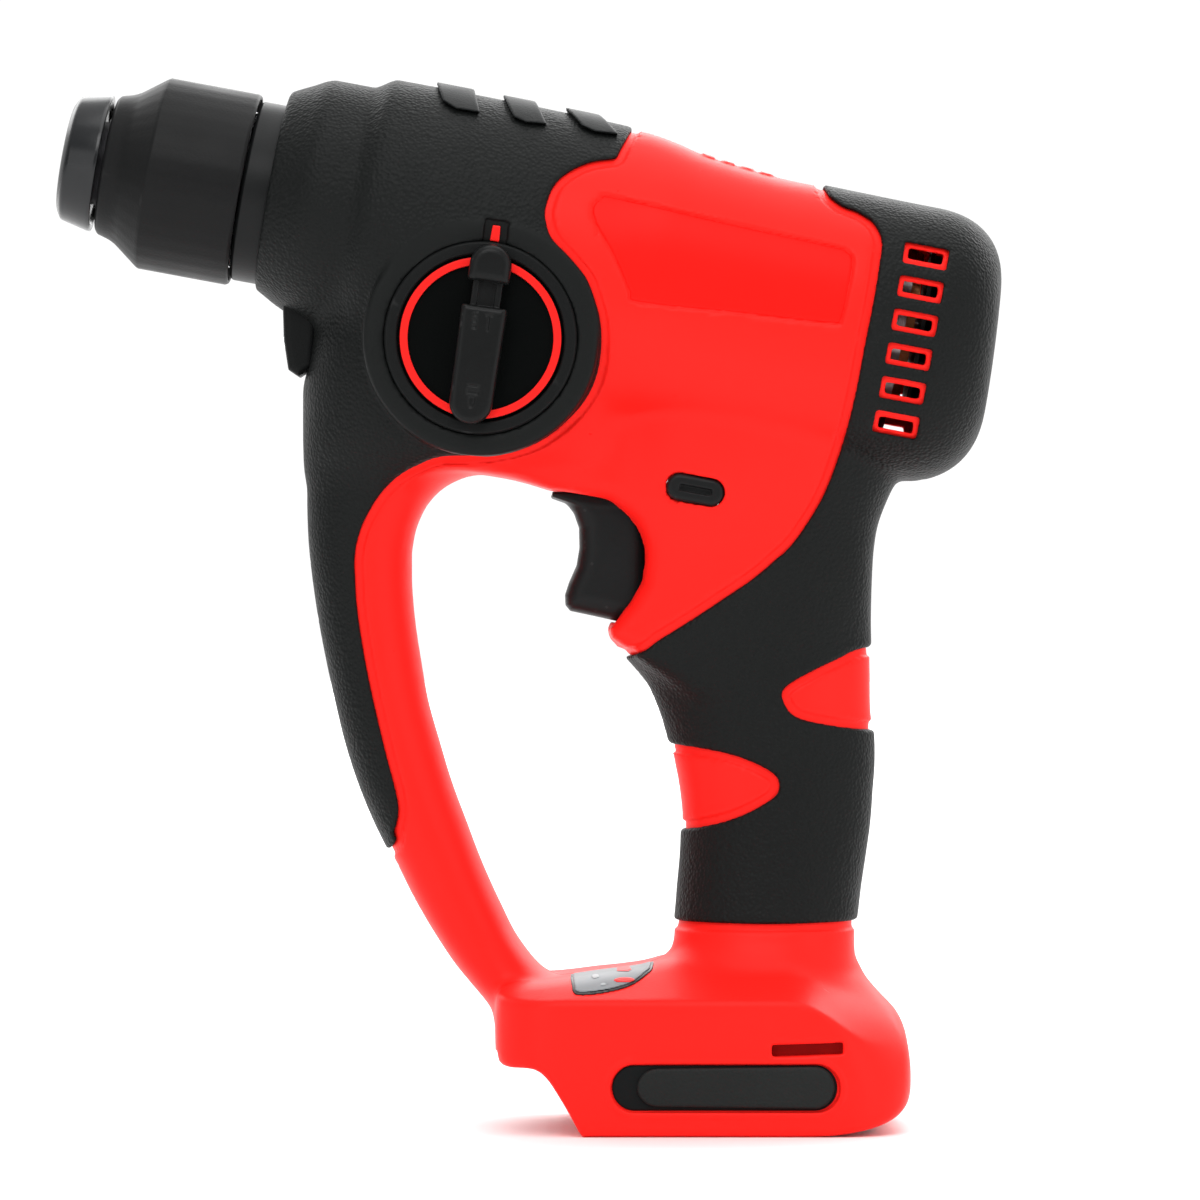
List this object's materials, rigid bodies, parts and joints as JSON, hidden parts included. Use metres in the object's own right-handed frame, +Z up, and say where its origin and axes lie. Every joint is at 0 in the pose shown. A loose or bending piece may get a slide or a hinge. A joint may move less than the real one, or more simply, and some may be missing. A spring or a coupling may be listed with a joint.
{
  "type": "cordless rotary hammer",
  "caption": "Cordless rotary hammer with a keyless chuck, mode selector dial, closed hand guard, trigger, overmoulded grip and slide-on battery foot.",
  "frame": {"origin": "centre of the battery foot's flat underside, where the tool stands", "axes": "+Z up, -X towards the chuck, -Y the side with the mode dial"},
  "size_m": [0.2371, 0.0816, 0.2626],
  "materials": {
    "red_abs": "satin, fine grain",
    "black_tpe": "soft matt grain",
    "gloss_black": "smooth moulded",
    "black_plastic": "matt moulded",
    "white_plastic": "moulded",
    "steel": "ground",
    "bright_steel": "polished",
    "cast_alloy": "die cast",
    "copper": "enamelled wire",
    "seal_rubber": "smooth",
    "clear_lens": "clear",
    "silver_label": "printed silver",
    "contact_brass": "plated"
  },
  "bodies": {
    "housing": {"control_module": "cast_alloy", "dial_bezel": "black_plastic", "dial_pointer": "red_abs", "dial_seat": "black_plastic", "front_bearing": "bright_steel", "front_collar": "black_plastic", "gear_case": "cast_alloy", "housing_screw_1": "bright_steel", "housing_screw_2": "bright_steel", "housing_screw_3": "bright_steel", "housing_screw_4": "bright_steel", "lamp_housing": "black_plastic", "lamp_lens": "clear_lens", "lay_front_bearing": "bright_steel", "lay_rear_bearing": "bright_steel", "left_foot_pad": "black_tpe", "left_front_overmould": "black_tpe", "left_housing": "red_abs", "left_rear_overmould": "black_tpe", "left_terminal_blade": "contact_brass", "motor_front_bearing": "bright_steel", "motor_plate": "cast_alloy", "motor_rear_bearing": "bright_steel", "rear_bearing": "bright_steel", "rear_flange": "cast_alloy", "right_foot_pad": "black_tpe", "right_front_overmould": "black_tpe", "right_housing": "red_abs", "right_rear_overmould": "black_tpe", "right_terminal_blade": "contact_brass", "stator_core": "steel", "stator_windings": "copper", "status_panel": "silver_label", "switch_unit": "black_plastic", "terminal_block": "black_plastic"},
    "spindle": {"spindle": "steel", "spindle_gear": "steel", "dust_cap": "gloss_black", "left_locking_ball": "bright_steel", "right_locking_ball": "bright_steel", "sleeve_spring": "bright_steel"},
    "locking_sleeve": {"locking_sleeve": "gloss_black", "sleeve_core": "steel"},
    "impact_bolt": {"impact_bolt": "bright_steel"},
    "striker": {"striker": "bright_steel", "striker_ring": "seal_rubber"},
    "piston": {"piston": "cast_alloy"},
    "intermediate": {"intermediate_shaft": "steel", "intermediate_gear": "steel", "wobble_hub": "steel"},
    "wobble_ring": {"wobble_ring": "steel"},
    "rotor": {"rotor_shaft": "steel", "rotor_core": "steel", "motor_pinion": "steel", "cooling_fan": "black_plastic"},
    "trigger": {"trigger": "black_plastic"},
    "push_bar": {"push_bar": "black_plastic"},
    "mode_dial": {"mode_dial": "black_plastic", "dial_red_ring": "red_abs"},
    "mode_lock": {"mode_lock_button": "black_plastic"}
  },
  "joints": [
    {"name": "spindle_spin", "type": "hinge", "parent": "housing", "child": "spindle", "pos_m": [-0.11076, 0, 0.23107], "axis": [0.9833, 0, -0.1822], "continuous": true},
    {"name": "sleeve_pull", "type": "slide", "parent": "spindle", "child": "locking_sleeve", "axis": [0.9833, 0, -0.1822], "range_m": [0, 0.0055], "stiffness_N_per_m": 1200, "springref_m": -0.004},
    {"name": "bolt_travel", "type": "slide", "parent": "spindle", "child": "impact_bolt", "axis": [-0.9833, 0, 0.1822], "range_m": [0, 0.003]},
    {"name": "striker_travel", "type": "slide", "parent": "spindle", "child": "striker", "axis": [-0.9833, 0, 0.1822], "range_m": [0, 0.0095]},
    {"name": "rotor_spin", "type": "hinge", "parent": "housing", "child": "rotor", "pos_m": [0.01616, 0, 0.20246], "axis": [0.9833, 0, -0.1822], "continuous": true},
    {"name": "intermediate_spin", "type": "hinge", "parent": "housing", "child": "intermediate", "pos_m": [-0.03647, 0, 0.19289], "axis": [0.9833, 0, -0.1822], "continuous": true},
    {"name": "wobble_tilt", "type": "hinge", "parent": "housing", "child": "wobble_ring", "pos_m": [-0.02663, 0, 0.19107], "axis": [0, 1, 0], "range_deg": [-12, 12]},
    {"name": "piston_stroke", "type": "slide", "parent": "housing", "child": "piston", "axis": [0.9833, 0, -0.1822], "range_m": [-0.005, 0.005]},
    {"name": "trigger_pull", "type": "slide", "parent": "housing", "child": "trigger", "axis": [1, 0, 0], "range_m": [0, 0.006], "stiffness_N_per_m": 1500, "springref_m": -0.004},
    {"name": "direction_push", "type": "slide", "parent": "housing", "child": "push_bar", "axis": [0, 1, 0], "range_m": [-0.0025, 0.0025]},
    {"name": "mode_turn", "type": "hinge", "parent": "housing", "child": "mode_dial", "pos_m": [-0.0655, -0.034, 0.1954], "axis": [0, -1, 0], "range_deg": [-90, 90]},
    {"name": "lock_press", "type": "slide", "parent": "mode_dial", "child": "mode_lock", "axis": [-0.1822, 0, -0.9833], "range_m": [0, 0.003], "stiffness_N_per_m": 800, "springref_m": -0.002}
  ],
  "couplings": [
    {"joint": "intermediate_spin", "follows": "spindle_spin", "ratio": -3},
    {"joint": "rotor_spin", "follows": "spindle_spin", "ratio": 8.4},
    {"joint": "wobble_tilt", "follows": "piston_stroke", "rad_per_m": 41.667}
  ]
}
